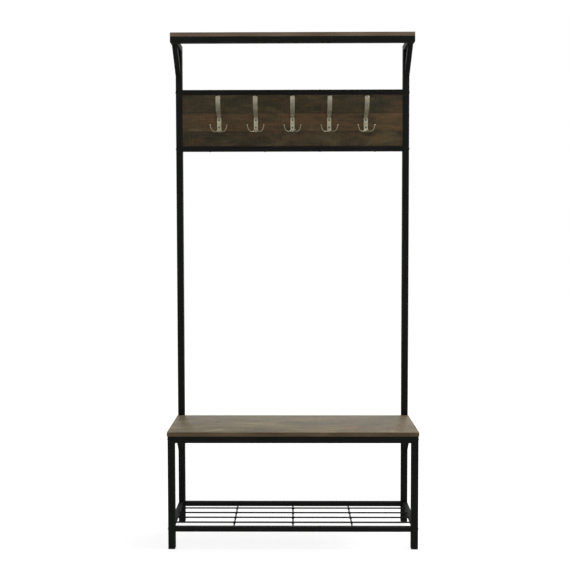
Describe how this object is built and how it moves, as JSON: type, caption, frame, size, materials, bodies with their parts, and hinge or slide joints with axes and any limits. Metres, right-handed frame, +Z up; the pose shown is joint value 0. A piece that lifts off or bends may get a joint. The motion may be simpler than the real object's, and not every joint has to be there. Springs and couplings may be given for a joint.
{
  "type": "hall tree",
  "caption": "Tall open steel-tube coat stand: laminate bench seat over a wire shoe rack, board with triple coat hooks and a shallow top shelf on diagonal braces.",
  "frame": {"origin": "on the floor, in the middle of the width and of the depth", "axes": "+X to the right seen from the front, +Y to the rear (wall side), +Z up; the open front faces -Y"},
  "size_m": [0.906, 0.32, 1.879],
  "materials": {
    "laminate": "low-gloss printed rustic wood laminate on particle board, square edges with matching edge band",
    "panel_laminate": "low-gloss printed rustic wood laminate in three plank rows",
    "black_steel": "fine satin black powder coat",
    "black_wire": "satin black powder coat on round wire",
    "plain_steel": "bare steel, hidden inside the posts",
    "satin_nickel": "satin nickel plated casting",
    "screw_steel": "nickel plated pan head screw",
    "black_plastic": "moulded black plastic end plug"
  },
  "bodies": {
    "root": {"hook_1": "satin_nickel", "hook_1_lower_screw": "screw_steel", "hook_1_upper_screw": "screw_steel", "hook_2": "satin_nickel", "hook_2_lower_screw": "screw_steel", "hook_2_upper_screw": "screw_steel", "hook_3": "satin_nickel", "hook_3_lower_screw": "screw_steel", "hook_3_upper_screw": "screw_steel", "hook_4": "satin_nickel", "hook_4_lower_screw": "screw_steel", "hook_4_upper_screw": "screw_steel", "hook_5": "satin_nickel", "hook_5_lower_screw": "screw_steel", "hook_5_upper_screw": "screw_steel", "hook_panel": "panel_laminate", "left_front_foot": "black_plastic", "left_front_leg": "black_steel", "left_lower_post": "black_steel", "left_post_cap": "black_plastic", "left_post_spigot": "plain_steel", "left_rear_foot": "black_plastic", "left_seat_brace": "black_steel", "left_shelf_brace": "black_steel", "left_upper_post": "black_steel", "lower_hook_rail": "black_steel", "rack_cross_wire_1": "black_wire", "rack_cross_wire_2": "black_wire", "rack_cross_wire_3": "black_wire", "rack_front_beam": "black_steel", "rack_left_beam": "black_steel", "rack_long_wire_1": "black_wire", "rack_long_wire_2": "black_wire", "rack_long_wire_3": "black_wire", "rack_long_wire_4": "black_wire", "rack_rear_beam": "black_steel", "rack_right_beam": "black_steel", "right_front_foot": "black_plastic", "right_front_leg": "black_steel", "right_lower_post": "black_steel", "right_post_cap": "black_plastic", "right_post_spigot": "plain_steel", "right_rear_foot": "black_plastic", "right_seat_brace": "black_steel", "right_shelf_brace": "black_steel", "right_upper_post": "black_steel", "seat_board": "laminate", "seat_front_beam": "black_steel", "seat_left_beam": "black_steel", "seat_rear_beam": "black_steel", "seat_right_beam": "black_steel", "shelf_board": "laminate", "shelf_front_beam": "black_steel", "shelf_left_beam": "black_steel", "shelf_right_beam": "black_steel", "upper_hook_rail": "black_steel"}
  },
  "joints": []
}
